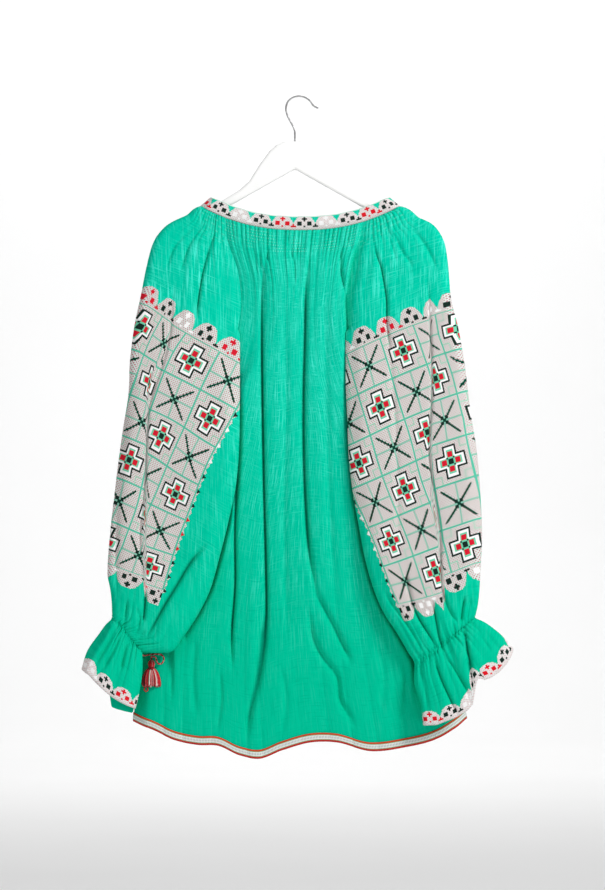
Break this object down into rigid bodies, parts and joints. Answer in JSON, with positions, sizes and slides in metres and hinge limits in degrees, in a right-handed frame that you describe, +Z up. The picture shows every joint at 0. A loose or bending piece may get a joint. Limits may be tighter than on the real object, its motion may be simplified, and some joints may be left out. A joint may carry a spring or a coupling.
{
  "type": "embroidered tunic on a hanger",
  "caption": "Gathered linen tunic with embroidered raglan sleeves, frilled cuffs and a woven hem tape, hanging back outwards on a hanger.",
  "frame": {"origin": "the inside top of the hanger's hook, where it rests on a nail or a rail", "axes": "+Z up, -Y out of the tunic's back, which is the side that faces the viewer, +X to the wearer's right arm's side as the viewer sees it on the right"},
  "size_m": [0.62, 0.0967, 0.9628],
  "materials": {
    "wire": "bright drawn wire",
    "hanger": "satin white",
    "band": "cross-stitched linen",
    "linen": "plain weave linen with slubs",
    "sleeve": "plain weave linen with cross-stitch",
    "ribbon": "ribbed woven ribbon",
    "yarn": "twisted cotton yarn"
  },
  "bodies": {
    "root": {"hanger_hook": "wire", "hanger_body": "hanger", "neckband": "band", "back_panel": "linen", "front_panel": "linen", "sleeve_left": "sleeve", "sleeve_right": "sleeve", "hem_tape_back": "ribbon", "hem_tape_front": "ribbon", "wrist_tie": "yarn", "tassel": "yarn"}
  },
  "joints": []
}
